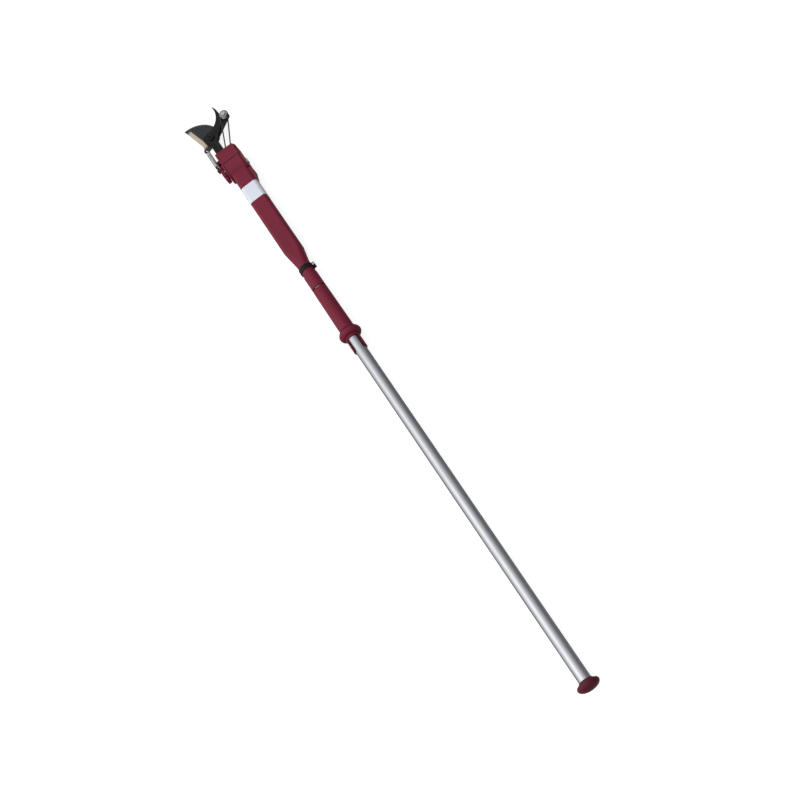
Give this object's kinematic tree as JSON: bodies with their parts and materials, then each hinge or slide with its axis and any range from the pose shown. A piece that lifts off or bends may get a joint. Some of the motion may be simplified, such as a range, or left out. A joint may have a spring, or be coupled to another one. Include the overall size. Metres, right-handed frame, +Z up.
{
  "type": "tree pruner pole",
  "caption": "Long aluminium pole with a tilting bypass pruning head, worked by a sliding grip through a cord and pulley, with a return spring.",
  "frame": {"origin": "on the pole axis, half way along the bare tube", "axes": "+X along the pole towards the cutting head, +Y to the blade side, +Z up as the pole lies"},
  "size_m": [1.5626, 0.1074, 0.052],
  "materials": {
    "aluminium_tube": "drawn satin aluminium",
    "wine_plastic": "moulded satin plastic, wine red",
    "black_plastic": "moulded matte nylon, black",
    "black_steel": "black oxide on steel",
    "blade_steel": "ground and polished steel",
    "zinc_steel": "zinc plated steel",
    "spring_steel": "bright drawn spring wire",
    "brass": "turned brass",
    "label": "bare satin label film",
    "cord": "tight twisted cord, dark grey"
  },
  "bodies": {
    "pole": {"pole_tube": "aluminium_tube", "end_knob": "wine_plastic", "tube_bush": "black_plastic", "stop_collar": "wine_plastic", "clamp_band": "black_steel", "clamp_screw": "zinc_steel", "clamp_nut": "zinc_steel", "body_left_shell": "wine_plastic", "body_right_shell": "wine_plastic", "body_screws": "zinc_steel", "label_band": "label"},
    "head": {"elbow_axle": "zinc_steel", "elbow_washers": "black_plastic", "left_cheek": "wine_plastic", "right_cheek": "wine_plastic", "cheek_screws": "zinc_steel", "neck_base": "wine_plastic", "neck_cover": "wine_plastic", "neck_screws": "zinc_steel", "hook_jaw": "black_steel", "pivot_bolt": "black_steel", "pivot_washer": "zinc_steel", "pivot_nut": "zinc_steel", "return_spring": "spring_steel", "spring_anchor": "black_steel", "cord_ferrule": "zinc_steel", "draw_cord_neck": "cord", "draw_cord_front": "cord"},
    "blade": {"cutting_blade": "blade_steel", "pulley_pin": "zinc_steel"},
    "pulley": {"cord_pulley": "blade_steel"},
    "guide": {"guide_pulley": "black_plastic"},
    "lock": {"lock_knob": "wine_plastic", "lock_insert": "brass"},
    "grip": {"sliding_grip": "wine_plastic", "grip_bush": "wine_plastic", "puller_slug": "black_plastic", "puller_screw": "zinc_steel", "draw_cord_pole": "cord"}
  },
  "joints": [
    {"name": "elbow_tilt", "type": "hinge", "parent": "pole", "child": "head", "pos_m": [0.959, 0, 0], "axis": [0, -1, 0], "range_deg": [0, 45]},
    {"name": "grip_slide", "type": "slide", "parent": "pole", "child": "grip", "axis": [-1, 0, 0], "range_m": [0, 0.114]},
    {"name": "blade_swing", "type": "hinge", "parent": "head", "child": "blade", "pos_m": [1.071, 0.012, 0], "axis": [0, 0, -1], "range_deg": [0, 68], "stiffness_Nm_per_rad": 0.6, "springref_deg": -28.65, "deforming": ["return_spring", "draw_cord_front"]},
    {"name": "pulley_spin", "type": "hinge", "parent": "blade", "child": "pulley", "pos_m": [1.09847, -0.04191, 0.00825], "axis": [0, 0, 1], "range_deg": [-5, 370]},
    {"name": "guide_spin", "type": "hinge", "parent": "head", "child": "guide", "pos_m": [0.959, 0, 0], "axis": [0, -1, 0], "range_deg": [-5, 880]},
    {"name": "lock_turn", "type": "hinge", "parent": "head", "child": "lock", "pos_m": [0.959, 0.03, 0], "axis": [0, 1, 0], "range_deg": [0, 180]}
  ],
  "couplings": [
    {"joint": "blade_swing", "follows": "grip_slide", "rad_per_m": 10.258},
    {"joint": "pulley_spin", "follows": "grip_slide", "rad_per_m": 55.556},
    {"joint": "guide_spin", "follows": "grip_slide", "rad_per_m": 133.33}
  ]
}
